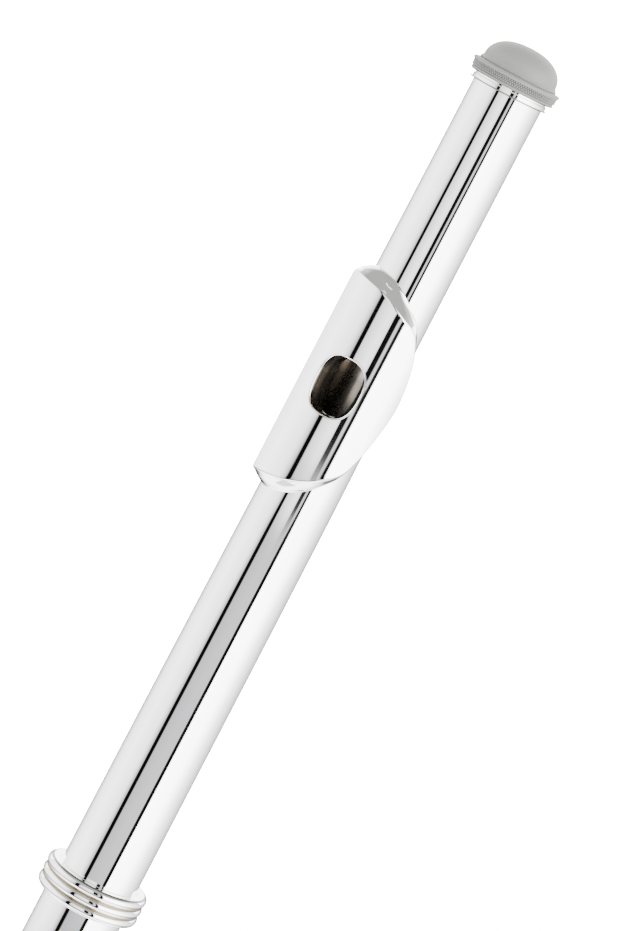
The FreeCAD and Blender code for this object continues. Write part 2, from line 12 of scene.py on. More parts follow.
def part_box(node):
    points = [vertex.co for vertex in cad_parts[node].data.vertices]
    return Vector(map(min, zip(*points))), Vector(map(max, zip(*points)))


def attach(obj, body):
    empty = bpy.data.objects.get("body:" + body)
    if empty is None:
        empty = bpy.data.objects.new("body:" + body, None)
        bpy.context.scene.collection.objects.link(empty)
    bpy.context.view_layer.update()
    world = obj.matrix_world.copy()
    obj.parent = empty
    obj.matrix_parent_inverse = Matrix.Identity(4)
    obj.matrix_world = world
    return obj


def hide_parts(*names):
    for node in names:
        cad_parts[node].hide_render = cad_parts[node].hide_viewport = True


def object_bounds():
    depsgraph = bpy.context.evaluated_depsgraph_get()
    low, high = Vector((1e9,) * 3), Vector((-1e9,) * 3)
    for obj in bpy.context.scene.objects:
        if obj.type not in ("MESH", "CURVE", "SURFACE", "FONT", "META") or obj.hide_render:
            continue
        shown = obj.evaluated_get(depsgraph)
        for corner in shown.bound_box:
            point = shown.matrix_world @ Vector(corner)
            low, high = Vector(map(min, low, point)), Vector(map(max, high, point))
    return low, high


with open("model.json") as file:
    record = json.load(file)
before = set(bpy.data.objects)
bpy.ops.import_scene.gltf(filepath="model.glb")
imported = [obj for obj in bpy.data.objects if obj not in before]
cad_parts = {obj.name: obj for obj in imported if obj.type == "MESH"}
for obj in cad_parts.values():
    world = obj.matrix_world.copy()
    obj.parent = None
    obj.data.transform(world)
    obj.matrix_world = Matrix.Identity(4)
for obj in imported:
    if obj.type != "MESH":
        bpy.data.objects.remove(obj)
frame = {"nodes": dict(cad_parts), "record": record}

LOG = logging.getLogger("flute")
CAD_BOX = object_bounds()
MM = 0.001
ROUND_SIDES = 192
SMOOTH_ANGLE = 30.0
ON_AXIS = 1e-9
MERGE_GAP = 1e-7
Profile = list[tuple[float, float]]
Socket = bpy.types.NodeSocket
Triple = tuple[float, float, float]
Colour = Triple

RISER_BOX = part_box("riser")
MOUTH_HEIGHT = (RISER_BOX[0].z + RISER_BOX[1].z) / 2

# Where a colour Mix node keeps its sockets.
MIX_PART, MIX_FIRST, MIX_SECOND, MIX_RESULT = 0, 6, 7, 2


class Slot(Enum):
    """The record's material slots."""

    SILVER = "silver_plate"
    STEEL = "rod_steel"
    BRASS = "plain_metal"
    PAD = "pad_skin"
    CORK = "cork"


# ---- shader groups ----

def add_node(tree: bpy.types.NodeTree, kind: str, **values: object) -> bpy.types.Node:
    """Adds a node and sets its properties or its named inputs.

    Args:
        tree: The node tree that takes the node.
        kind: The node's type name.
        **values: Property names, or input names with underscores for spaces.

    Returns:
        The new node.
    """
    node = tree.nodes.new(kind)
    for name, value in values.items():
        if hasattr(node, name):
            setattr(node, name, value)
        else:
            node.inputs[name.replace("_", " ")].default_value = value
    return node


def feed(tree: bpy.types.NodeTree, value: object, socket: Socket) -> None:
    """Links an output to an input, or sets the input to a constant.

    Args:
        tree: The node tree.
        value: The output or the constant.
        socket: The input.
    """
    if isinstance(value, bpy.types.NodeSocket):
        tree.links.new(value, socket)
    else:
        socket.default_value = value


def mixed(tree: bpy.types.NodeTree, part: object, first: object, second: object,
          blend: str = "MIX") -> Socket:
    """Mixes two colours, each an output or a constant.

    Args:
        tree: The node tree.
        part: How much of the second colour there is.
        first: The first colour.
        second: The second colour.
        blend: The way of mixing.

    Returns:
        The mixed colour.
    """
    node = add_node(tree, "ShaderNodeMix", data_type="RGBA", blend_type=blend)
    for index, value in ((MIX_PART, part), (MIX_FIRST, first), (MIX_SECOND, second)):
        feed(tree, value, node.inputs[index])
    return node.outputs[MIX_RESULT]


def mapped(tree: bpy.types.NodeTree, value: Socket, span: tuple[float, float],
           onto: tuple[float, float] = (0.0, 1.0)) -> Socket:
    """Maps a value from one range onto another and holds it between the ends.

    Args:
        tree: The node tree.
        value: The value.
        span: The range that it comes from.
        onto: The range that it goes to.

    Returns:
        The mapped value.
    """
    node = add_node(tree, "ShaderNodeMapRange", From_Min=span[0], From_Max=span[1],
                    To_Min=onto[0], To_Max=onto[1])
    tree.links.new(value, node.inputs["Value"])
    return node.outputs["Result"]


def worked_out(tree: bpy.types.NodeTree, operation: str, *values: object) -> Socket:
    """Works out one sum.

    Args:
        tree: The node tree.
        operation: The Math node's operation.
        *values: Its numbers in order, each an output or a constant.

    Returns:
        The result.
    """
    node = add_node(tree, "ShaderNodeMath", operation=operation)
    for value, socket in zip(values, node.inputs):
        feed(tree, value, socket)
    return node.outputs[0]


def stretched(tree: bpy.types.NodeTree, place: Socket, scale: Triple) -> Socket:
    """Scales a place before a pattern reads it.

    Args:
        tree: The node tree.
        place: The place.
        scale: The scale along each axis.

    Returns:
        The scaled place.
    """
    node = add_node(tree, "ShaderNodeMapping")
    node.inputs["Scale"].default_value = scale
    tree.links.new(place, node.inputs["Vector"])
    return node.outputs["Vector"]


def noise(tree: bpy.types.NodeTree, place: Socket, scale: float, detail: float,
          roughness: float = 0.5) -> Socket:
    """Adds a noise pattern.

    Args:
        tree: The node tree.
        place: Where it is read.
        scale: How fine it is.
        detail: How many finer layers it has.
        roughness: How strong those layers are.

    Returns:
        The pattern's value.
    """
    node = add_node(tree, "ShaderNodeTexNoise", Scale=scale, Detail=detail, Roughness=roughness)
    tree.links.new(place, node.inputs["Vector"])
    return node.outputs["Fac"]


@dataclass(frozen=True)
class HandlingMarks:
    """The marks that hands and cloths leave on plate: haze, smudges and fine wiping scratches."""

    name: str = "handling_marks"
    smudge_scale: float = 70.0
    smudge_span: tuple[float, float] = (0.45, 0.75)
    tone_span: tuple[float, float] = (0.3, 0.8)
    dull_tone: float = 0.96
    hairline_scale: float = 9000.0
    hairline_stretch: float = 0.03

    def group(self) -> bpy.types.NodeTree:
        """Builds the node group once.

        Returns:
            A node group that gives a tone factor, a roughness and a height.
        """
        if self.name in bpy.data.node_groups:
            return bpy.data.node_groups[self.name]
        group = bpy.data.node_groups.new(self.name, "ShaderNodeTree")
        for label, default in (("Roughness", 0.05), ("Haze", 0.02), ("Scratch", 0.2)):
            socket = group.interface.new_socket(label, in_out="INPUT", socket_type="NodeSocketFloat")
            socket.default_value = default
        for label in ("Tone", "Roughness", "Height"):
            group.interface.new_socket(label, in_out="OUTPUT", socket_type="NodeSocketFloat")
        given = add_node(group, "NodeGroupInput").outputs
        results = add_node(group, "NodeGroupOutput").inputs
        place = add_node(group, "ShaderNodeTexCoord").outputs["Object"]
        smudge = noise(group, place, self.smudge_scale, detail=5.0, roughness=0.6)
        patch = mapped(group, smudge, self.smudge_span)
        haze = worked_out(group, "MULTIPLY_ADD", patch, given["Haze"], given["Roughness"])
        along = stretched(group, place, (1.0, 1.0, self.hairline_stretch))
        lines = noise(group, along, self.hairline_scale, detail=2.0)
        height = worked_out(group, "MULTIPLY", lines, given["Scratch"])
        tone = mapped(group, smudge, self.tone_span, (1.0, self.dull_tone))
        for label, value in (("Tone", tone), ("Roughness", haze), ("Height", height)):
            group.links.new(value, results[label])
        return group


@dataclass(frozen=True)
class StreaksAndPaintedShadow:
    """Dark streak lines along the tube, with painted shadow that darkens it below one height."""

    depth: float
    painted_shadow_height: float
    painted_shadow_tone: float = 0.5
    below: float = 1.2 * MM
    above: float = 0.6 * MM
    stretch: Triple = (700.0, 700.0, 18.0)
    span: tuple[float, float] = (0.38, 0.62)

    def over(self, tree: bpy.types.NodeTree, tone: Socket) -> Socket:
        """Darkens a tone with the streak lines, and with painted shadow below the height.

        Args:
            tree: The material's nodes.
            tone: The tone before.

        Returns:
            The tone after.
        """
        place = add_node(tree, "ShaderNodeTexCoord").outputs["Object"]
        lines = noise(tree, stretched(tree, place, self.stretch), 1.0, detail=3.0, roughness=0.6)
        dark = mapped(tree, lines, self.span, (1 - self.depth, 1.0))
        axes = add_node(tree, "ShaderNodeSeparateXYZ")
        tree.links.new(place, axes.inputs["Vector"])
        # Painted shadow: below the given height the tone falls to the given shadow tone.
        edge = (self.painted_shadow_height - self.below, self.painted_shadow_height + self.above)
        low = mapped(tree, axes.outputs["Z"], edge, (self.painted_shadow_tone, 1.0))
        return mixed(tree, 1.0, tone, worked_out(tree, "MULTIPLY", dark, low), "MULTIPLY")


@dataclass(frozen=True)
class MetalFinish:
    """A polished metal with its handling marks."""

    name: str
    colour: Colour
    roughness: float = 0.05
    haze: float = 0.02
    scratch: float = 0.2
    bump: float = 0.02
    metallic: float = 1.0
    streaks_and_shadow: StreaksAndPaintedShadow | None = None
    scratch_depth: float = 0.02 * MM

    def material(self) -> bpy.types.Material:
        """Builds the finish once.

        Returns:
            The material, new or already made.
        """
        if self.name in bpy.data.materials:
            return bpy.data.materials[self.name]
        material = bpy.data.materials.new(self.name)
        material.use_nodes = True
        tree = material.node_tree
        shader = tree.nodes["Principled BSDF"]
        shader.inputs["Metallic"].default_value = self.metallic
        marks = add_node(tree, "ShaderNodeGroup", node_tree=HandlingMarks().group())
        marks.inputs["Roughness"].default_value = self.roughness
        marks.inputs["Haze"].default_value = self.haze
        marks.inputs["Scratch"].default_value = self.scratch
        colour = mixed(tree, 1.0, (*self.colour, 1.0), marks.outputs["Tone"], "MULTIPLY")
        if self.streaks_and_shadow:
            colour = self.streaks_and_shadow.over(tree, colour)
        tree.links.new(colour, shader.inputs["Base Color"])
        tree.links.new(marks.outputs["Roughness"], shader.inputs["Roughness"])
        relief = add_node(tree, "ShaderNodeBump", Strength=self.bump, Distance=self.scratch_depth)
        tree.links.new(marks.outputs["Height"], relief.inputs["Height"])
        tree.links.new(relief.outputs["Normal"], shader.inputs["Normal"])
        return material


@dataclass(frozen=True)
class SoftFinish:
    """Cork, or the skin of a pad: a matt surface with a grain."""

    name: str
    light: Colour
    dark: Colour
    grain: float
    roughness: float = 0.6
    bump: float = 0.3
    span: tuple[float, float] = (0.35, 0.6)
    relief_depth: float = 0.1 * MM

    def material(self) -> bpy.types.Material:
        """Builds the finish once.

        Returns:
            The material, new or already made.
        """
        if self.name in bpy.data.materials:
            return bpy.data.materials[self.name]
        material = bpy.data.materials.new(self.name)
        material.use_nodes = True
        tree = material.node_tree
        shader = tree.nodes["Principled BSDF"]
        shader.inputs["Roughness"].default_value = self.roughness
        place = add_node(tree, "ShaderNodeTexCoord").outputs["Object"]
        cells = noise(tree, place, self.grain, detail=6.0, roughness=0.65)
        ramp = add_node(tree, "ShaderNodeValToRGB")
        for element, position, colour in zip(ramp.color_ramp.elements, self.span, (self.dark, self.light)):
            element.position = position
            element.color = (*colour, 1.0)
        tree.links.new(cells, ramp.inputs["Fac"])
        tree.links.new(ramp.outputs["Color"], shader.inputs["Base Color"])
        relief = add_node(tree, "ShaderNodeBump", Strength=self.bump, Distance=self.relief_depth)
        tree.links.new(cells, relief.inputs["Height"])
        tree.links.new(relief.outputs["Normal"], shader.inputs["Normal"])
        return material


SILVER = MetalFinish("polished_silver_plate", (0.97, 0.968, 0.965), roughness=0.035, haze=0.02)
FROSTED = MetalFinish("frosted_silver", (0.27, 0.276, 0.264), roughness=0.6, haze=0.05, bump=0.05,
                      metallic=0.25)
# Painted shade: a warm dark colour for the thin bands laid in the creases between the barrel's rings.
PAINTED_CREASE_SHADE = MetalFinish("warm_painted_crease_shade", (0.22, 0.17, 0.1), roughness=0.25, haze=0.1)
# Painted shadow: a dark silver for the crown's lip, the underside of the crown's band and the barrel's top
# shoulder.
SHADED = MetalFinish("shaded_silver", (0.15, 0.145, 0.12), roughness=0.3, haze=0.1)
# Oxidised silver for the bore and the riser. It also holds painted shadow below a little above the mouth's
# height.
OXIDE_AND_PAINTED_SHADOW = MetalFinish("oxidised_silver_painted_shadow", (0.74, 0.67, 0.57), roughness=0.26, haze=0.04, scratch=0.1,
                       streaks_and_shadow=StreaksAndPaintedShadow(depth=0.5, painted_shadow_height=MOUTH_HEIGHT + 2 * MM))
STEEL = MetalFinish("drawn_steel", (0.62, 0.62, 0.63), roughness=0.18, haze=0.06, scratch=0.6)
BRASS = MetalFinish("turned_brass", (0.82, 0.66, 0.36), roughness=0.2, haze=0.06)
PAD_SKIN = SoftFinish("pad_skin", (0.86, 0.79, 0.62), (0.7, 0.6, 0.42), grain=900.0, roughness=0.45,
                      bump=0.15)
CORK = SoftFinish("cork_grain", (0.72, 0.52, 0.33), (0.36, 0.2, 0.1), grain=700.0, roughness=0.85)
PALE_FLOOR = SoftFinish("pale_floor", (0.93, 0.93, 0.92), (0.92, 0.92, 0.91), grain=30.0, bump=0.0)
FINISHES = {Slot.SILVER: SILVER, Slot.STEEL: STEEL, Slot.BRASS: BRASS, Slot.PAD: PAD_SKIN, Slot.CORK: CORK}


# ---- modelling helpers ----

def deselect() -> None:
    """Leaves edit mode and deselects everything."""
    if bpy.context.object and bpy.context.object.mode != "OBJECT":
        bpy.ops.object.mode_set(mode="OBJECT")
    bpy.ops.object.select_all(action="DESELECT")


def settle(piece: bpy.types.Object, angle: float = SMOOTH_ANGLE) -> None:
    """Puts a finished piece's place in its mesh, turns its faces outwards and shades it.

    Args:
        piece: The piece, which is in object mode.
        angle: The sharpest turn between faces that still shades smooth, in degrees.
    """
    deselect()
    piece.select_set(True)
    bpy.context.view_layer.objects.active = piece
    bpy.ops.object.transform_apply(location=True, rotation=True, scale=True)
    bpy.ops.object.mode_set(mode="EDIT")
    bpy.ops.mesh.select_all(action="SELECT")
    bpy.ops.mesh.normals_make_consistent(inside=False)
    bpy.ops.object.mode_set(mode="OBJECT")
    bpy.ops.object.shade_smooth_by_angle(angle=math.radians(angle))


def turned(name: str, profile: Profile, sides: int = ROUND_SIDES,
           angle: float = SMOOTH_ANGLE) -> bpy.types.Object:
    """Turns a piece about the tube's axis, ring by ring, as on a lathe.

    A profile that ends where it starts closes into a wall; one that ends on the axis closes in a pole.

    Args:
        name: The piece's name.
        profile: (radius, height) of each ring, in metres.
        sides: How many sides a ring has.
        angle: The sharpest turn between faces that still shades smooth, in degrees.

    Returns:
        The finished piece.
    """
    deselect()
    start_radius, start_height = profile[0]
    bpy.ops.mesh.primitive_circle_add(vertices=sides, radius=start_radius, location=(0, 0, start_height))
    piece = bpy.context.object
    piece.name = name
    bpy.ops.object.mode_set(mode="EDIT")
    bpy.ops.mesh.select_all(action="SELECT")
    for (radius, height), (next_radius, next_height) in zip(profile, profile[1:]):
        bpy.ops.mesh.extrude_region_move(TRANSFORM_OT_translate={"value": (0, 0, next_height - height)})
        if next_radius < ON_AXIS:
            bpy.ops.mesh.merge(type="CENTER")
        elif abs(next_radius - radius) > ON_AXIS:
            factor = next_radius / radius
            bpy.ops.transform.resize(value=(factor, factor, 1), center_override=(0, 0, next_height))
    bpy.ops.mesh.select_all(action="SELECT")
    bpy.ops.mesh.remove_doubles(threshold=MERGE_GAP)
    settle(piece, angle)
    return piece


def arc(centre: tuple[float, float], radius: float, start: float, end: float, steps: int) -> Profile:
    """Points of a profile's round stretch.

    Args:
        centre: The arc's centre as (radius, height).
        radius: The arc's own radius.
        start: Its first angle in degrees, from straight out towards up.
        end: Its last angle.
        steps: How many pieces it is divided into.

    Returns:
        The points, both ends included.
    """
    angles = [math.radians(start + (end - start) * step / steps) for step in range(steps + 1)]
    return [(centre[0] + radius * math.cos(turn), centre[1] + radius * math.sin(turn)) for turn in angles]


def joined(pieces: list[bpy.types.Object], name: str) -> bpy.types.Object:
    """Makes one object of several.

    Args:
        pieces: The pieces to join.
        name: The name of the result.

    Returns:
        The joined object.
    """
    deselect()
    for piece in pieces:
        piece.select_set(True)
    bpy.context.view_layer.objects.active = pieces[0]
    if len(pieces) > 1:
        bpy.ops.object.join()
    pieces[0].name = name
    return pieces[0]


def copied(piece: bpy.types.Object, place: Matrix) -> bpy.types.Object:
    """Copies a piece with a mesh of its own.

    Args:
        piece: The piece to copy.
        place: Where the copy goes.

    Returns:
        The copy.
    """
    copy = piece.copy()
    copy.data = piece.data.copy()
    bpy.context.collection.objects.link(copy)
    copy.data.transform(place)
    return copy


def dressed(piece: bpy.types.Object, finish: MetalFinish | SoftFinish, body: str, slot: Slot,
            *nodes: str) -> bpy.types.Object:
    """Gives a finished piece its material and its body, and hides the CAD nodes that it stands for.

    Args:
        piece: The finished piece.
        finish: Its finish.
        body: The body that it rides on.
        slot: The record's slot that it takes its finish from; not used.
        *nodes: The CAD nodes that it stands for.

    Returns:
        The same piece.
    """
    piece.data.materials.clear()
    piece.data.materials.append(finish.material())
    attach(piece, body)
    if nodes:
        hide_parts(*nodes)
    LOG.info("%s rides on %s", piece.name, body)
    return piece


def node_size(node: str) -> tuple[Vector, Vector]:
    """The corners of a CAD node.

    Args:
        node: Its name.

    Returns:
        The lowest and the highest corner.
    """
    low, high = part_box(node)
    return Vector(low), Vector(high)


def eased(points: Profile, spacing: float) -> Profile:
    """Draws a smooth line through a few points.

    Args:
        points: (radius, height) points in order.
        spacing: About how far apart the new points stand in height.

    Returns:
        The finer line, through the same points.
    """
    line: Profile = []
    padded = [points[0], *points, points[-1]]
    for before, start, end, after in zip(padded, padded[1:], padded[2:], padded[3:]):
        steps = max(1, round(abs(end[1] - start[1]) / spacing))
        rise = end[1] - start[1]
        slope_in = (end[0] - before[0]) / (end[1] - before[1]) * rise
        slope_out = (after[0] - start[0]) / (after[1] - start[1]) * rise
        for step in range(steps):
            part = step / steps
            square, cube = part ** 2, part ** 3
            radius = ((2 * cube - 3 * square + 1) * start[0] + (cube - 2 * square + part) * slope_in
                      + (3 * square - 2 * cube) * end[0] + (cube - square) * slope_out)
            line.append((radius, start[1] + part * rise))
    line.append(points[-1])
    return line


# ---- head joint ----

@dataclass
class HeadTube:
    """The tapered tube of the head joint, with its mouth hole."""

    wall: float = 0.4 * MM
    crown_radius: float = 8.8 * MM
    above_plate_radius: float = 8.87 * MM
    hole_radius: float = 9.1 * MM
    below_plate_radius: float = 9.5 * MM
    tenon_radius: float = 9.9 * MM
    plate_reach: float = 33 * MM
    tenon_length: float = 48 * MM
    ring_spacing: float = 4 * MM
    cut_width: float = 12.4 * MM
    cut_length: float = 14.6 * MM
    cut_sides: int = 96
    smooth_angle: float = 40.0
    bore_facing: float = -0.5
    mouth: float = MOUTH_HEIGHT

    def __post_init__(self) -> None:
        """Reads the tube's ends from the frame."""
        low, high = node_size("head_tube")
        self.base = low.z
        self.top = high.z

    def taper(self) -> Profile:
        """The tube's outer line.

        Returns:
            (radius, height) points from the tenon up to the crown.
        """
        points = [(self.tenon_radius, self.base), (self.tenon_radius, self.base + self.tenon_length),
                  (self.below_plate_radius, self.mouth - self.plate_reach), (self.hole_radius, self.mouth),
                  (self.above_plate_radius, self.mouth + self.plate_reach), (self.crown_radius, self.top)]
        return eased(points, self.ring_spacing)

    def radius_at(self, height: float) -> float:
        """The outer radius at a height.

        Args:
            height: The height in metres.

        Returns:
            The radius in metres.
        """
        line = self.taper()
        for (radius, low), (next_radius, high) in zip(line, line[1:]):
            if low <= height <= high:
                return radius + (next_radius - radius) * (height - low) / (high - low)
        return self.crown_radius if height > self.top else self.tenon_radius

    def cut_mouth(self, tube: bpy.types.Object) -> None:
        """Cuts an oval hole through the tube's front wall.

        Args:
            tube: The turned tube.
        """
        deselect()
        reach = 2 * self.crown_radius
        bpy.ops.mesh.primitive_cylinder_add(
            vertices=self.cut_sides, radius=self.cut_width / 2, depth=2 * reach,
            location=(0, -reach, self.mouth), rotation=(math.pi / 2, 0, 0))
        cutter = bpy.context.object
        bpy.ops.transform.resize(value=(1, 1, self.cut_length / self.cut_width),
                                 center_override=(0, 0, self.mouth))
        deselect()
        tube.select_set(True)
        bpy.context.view_layer.objects.active = tube
        cut = tube.modifiers.new("mouth_hole", "BOOLEAN")
        cut.operation = "DIFFERENCE"
        cut.solver = "EXACT"
        cut.object = cutter
        bpy.ops.object.modifier_apply(modifier=cut.name)
        bpy.data.objects.remove(cutter)
        bpy.ops.object.shade_smooth_by_angle(angle=math.radians(self.smooth_angle))

    def build(self) -> None:
        """Turns the tube, cuts its mouth hole and darkens its bore with oxide and with painted shadow below
        the mouth.
        """
        outer = self.taper()
        inner = [(radius - self.wall, height) for radius, height in reversed(outer)]
        tube = turned("head_tube_shell", [*outer, *inner, outer[0]], angle=self.smooth_angle)
        self.cut_mouth(tube)
        dressed(tube, SILVER, "head", Slot.SILVER, "head_tube")
        # The bore takes the oxidised finish, which paints shadow on it below the mouth.
        tube.data.materials.append(OXIDE_AND_PAINTED_SHADOW.material())
        for face in tube.data.polygons:
            outward = Vector((face.center.x, face.center.y, 0)).normalized()
            if face.normal.dot(outward) < self.bore_facing:
                face.material_index = 1


# The plate's outline laid flat, as (angle round the tube in degrees, height from the mouth in mm):
# along the top from the player's side, round the far wing and back along the bottom.
PLATE_OUTLINE = ((-50, 25.6), (-25, 25.2), (0, 24.2), (25, 21.5), (44, 19.0), (55, 15.0), (63.6, 9.6),
                 (68.7, 2.3), (66.5, -3.0), (60, -9.0), (53.5, -13.6), (44, -18.2), (22, -22.1),
                 (-4, -24.8), (-28, -26.0), (-50, -26.5))


@dataclass
class LipPlate:
    """The lip plate with its turned-down edge, and the riser under it."""

    tube: HeadTube
    outline: tuple[tuple[float, float], ...] = PLATE_OUTLINE
    radius: float = 14.0 * MM
    thickness: float = 0.9 * MM
    edge_width: float = 3.3 * MM
    edge_round: float = 0.8 * MM
    hem_bulge: float = 0.35
    rim_round: float = 0.4 * MM
    mouth_width: float = 12.1 * MM
    mouth_length: float = 14.4 * MM
    squareness: float = 2.6
    riser_wall: float = 0.8 * MM
    riser_bore: float = 0.15 * MM
    riser_sink: float = 0.6 * MM
    tube_sink: float = 0.05 * MM
    face_start: float = 0.035
    face_end: float = 0.985
    around: int = 288
    across: int = 22
    knot_steps: int = 24
    smooth_angle: float = 50.0
    corner_length: float = 2 * MM
    corner_share: float = 0.03
    corner_rounds: int = 3
    rim_steps: int = 6
    edge_steps: int = 5
    edge_turn: float = 55.0
    edge_lap: float = 0.3
    hem_steps: int = 8
    hem_return: float = 0.6
    riser_steps: int = 6

    def edge_points(self) -> list[Vector]:
        """The outline as evenly placed points on the flat, in metres.

        Returns:
            One point for each line of vertices round the plate.
        """
        knots = [Vector((math.radians(turn) * self.radius, height * MM)) for turn, height in self.outline]
        padded = [2 * knots[0] - knots[1], *knots, 2 * knots[-1] - knots[-2]]
        fine: list[Vector] = []
        for before, start, end, after in zip(padded, padded[1:], padded[2:], padded[3:]):
            for step in range(self.knot_steps):
                part = step / self.knot_steps
                fine.append((2 * start + (end - before) * part
                             + (2 * before - 5 * start + 4 * end - after) * part ** 2
                             + (3 * start - before - 3 * end + after) * part ** 3) / 2)
        fine.append(knots[-1])
        return self.evenly(self.rounded_corners(fine))

    def rounded_corners(self, line: list[Vector]) -> list[Vector]:
        """Closes the line along the player's side with a small round at each corner.

        Args:
            line: The open outline.

        Returns:
            The closed outline.
        """
        for _ in range(self.corner_rounds):
            smoothed = []
            for index, point in enumerate(line):
                following = line[(index + 1) % len(line)]
                if (following - point).length > self.corner_length:
                    smoothed += [point, point.lerp(following, self.corner_share),
                                 point.lerp(following, 1 - self.corner_share)]
                else:
                    smoothed.append(point.lerp(following, 0.5))
            line = smoothed
        return line

    def evenly(self, line: list[Vector]) -> list[Vector]:
        """Places points evenly along a closed line.

        Args:
            line: The closed line.

        Returns:
            As many points as the plate has lines of vertices.
        """
        closed = [*line, line[0]]
        lengths = [0.0]
        for start, end in zip(closed, closed[1:]):
            lengths.append(lengths[-1] + (end - start).length)
        points, index = [], 0
        for count in range(self.around):
            along = lengths[-1] * count / self.around
            while lengths[index + 1] < along:
                index += 1
            part = (along - lengths[index]) / max(lengths[index + 1] - lengths[index], 1e-12)
            points.append(closed[index].lerp(closed[index + 1], part))
        return points

    def mouth_point(self, towards: Vector) -> Vector:
        """The point of the mouth hole's rim that faces an outline point.

        Args:
            towards: A point on the flat.

        Returns:
            The rim's point on the flat.
        """
        across, along = towards.x / (self.mouth_width / 2), towards.y / (self.mouth_length / 2)
        reach = (abs(across) ** self.squareness + abs(along) ** self.squareness) ** (-1 / self.squareness)
        return towards * reach

    def wrapped(self, flat: Vector, radius: float) -> Vector:
        """Wraps a flat point round the tube.

        Args:
            flat: The point on the flat.
            radius: Its distance from the tube's axis, or 0 for the tube's own surface.

        Returns:
            The point in space.
        """
        height = self.tube.mouth + flat.y
        distance = radius if radius else self.tube.radius_at(height) - self.tube_sink
        turn = flat.x / self.radius
        return Vector((distance * math.sin(turn), -distance * math.cos(turn), height))

    def swept(self, name: str, section: list[Triple]) -> bpy.types.Object:
        """Carries a closed section round the plate.

        Args:
            name: The piece's name.
            section: Stations as (share of the way from rim to outline, offset outwards, radius).

        Returns:
            The finished shell.
        """
        edge = self.edge_points()
        rims = [self.mouth_point(point) for point in edge]
        count = self.around
        outward = []
        for index in range(count):
            along = edge[(index + 1) % count] - edge[index - 1]
            outward.append(Vector((-along.y, along.x)).normalized())
        if outward[0].dot(edge[0]) < 0:
            outward = [-each for each in outward]
        deselect()
        bpy.ops.mesh.primitive_grid_add(x_subdivisions=count, y_subdivisions=len(section), size=1)
        piece = bpy.context.object
        piece.name = name
        for vertex in piece.data.vertices:
            column = round((vertex.co.x + 0.5) * count) % count
            share, offset, radius = section[round((vertex.co.y + 0.5) * len(section)) % len(section)]
            flat = rims[column].lerp(edge[column], share)
            aside = outward[column] if share > 0.5 else rims[column].normalized()
            vertex.co = self.wrapped(flat + aside * offset, radius)
        bpy.ops.object.mode_set(mode="EDIT")
        bpy.ops.mesh.select_all(action="SELECT")
        bpy.ops.mesh.remove_doubles(threshold=MERGE_GAP)
        settle(piece, self.smooth_angle)
        return piece

    def face(self) -> list[Triple]:
        """The plate's face, from the underside at the mouth hole over its rim to the turned edge.

        Returns:
            The stations of the section, for swept().
        """
        top, under = self.radius, self.radius - self.thickness
        stations = [(0.0, 0.0, under)]
        for step in range(self.rim_steps + 1):
            turn = math.pi / 2 * step / self.rim_steps
            inwards, drop = self.rim_round * (1 - math.cos(turn)), self.rim_round * (1 - math.sin(turn))
            stations.append((0.0, inwards, top - drop))
        for step in range(self.across + 1):
            share = self.face_start + (self.face_end - self.face_start) * step / self.across
            stations.append((share, 0.0, top))
        for step in range(self.edge_steps + 1):
            turn = math.radians(self.edge_turn) * step / self.edge_steps
            aside = self.edge_round * (math.sin(turn) - self.edge_lap)
            stations.append((1.0, aside, top - self.edge_round * (1 - math.cos(turn))))
        return stations

    def hem(self) -> list[Triple]:
        """The turned-down edge, which bulges a little, and the way back along the plate's underside.

        Returns:
            The stations of the section, for swept().
        """
        top, foot = self.radius - self.edge_round, self.tube.hole_radius
        start, under = self.edge_round * (1 - self.edge_lap), self.radius - self.thickness
        stations = []
        for step in range(1, self.hem_steps):
            part = step / self.hem_steps
            turn = math.pi / 2 * part
            out = (1 - self.hem_bulge) * part + self.hem_bulge * math.sin(turn)
            down = (1 - self.hem_bulge) * part + self.hem_bulge * (1 - math.cos(turn))
            stations.append((1.0, start + (self.edge_width - start) * out, top + (foot - top) * down))
        return [*stations, (1.0, self.edge_width, 0.0), (1.0, self.edge_width - self.thickness, 0.0),
                (1.0, -self.thickness * self.hem_return, under), (0.5, 0.0, under)]

    def build_riser(self) -> None:
        """Makes the chimney between the tube and the plate."""
        under = self.radius - self.thickness
        foot = self.tube.hole_radius - self.riser_sink
        levels = [foot + (under - foot) * step / self.riser_steps for step in range(self.riser_steps + 1)]
        inner = [(0.0, self.riser_bore, level) for level in levels]
        outer = [(0.0, self.riser_wall, level) for level in reversed(levels)]
        riser = self.swept("riser_wall", inner + outer)
        # The riser takes the oxidised finish, with painted shadow below the mouth's height.
        dressed(riser, OXIDE_AND_PAINTED_SHADOW, "head", Slot.SILVER, "riser")

    def build(self) -> None:
        """Makes the plate and the riser."""
        plate = self.swept("lip_plate_shell", self.face() + self.hem())
        dressed(plate, SILVER, "head", Slot.SILVER, "lip_plate")
        self.build_riser()


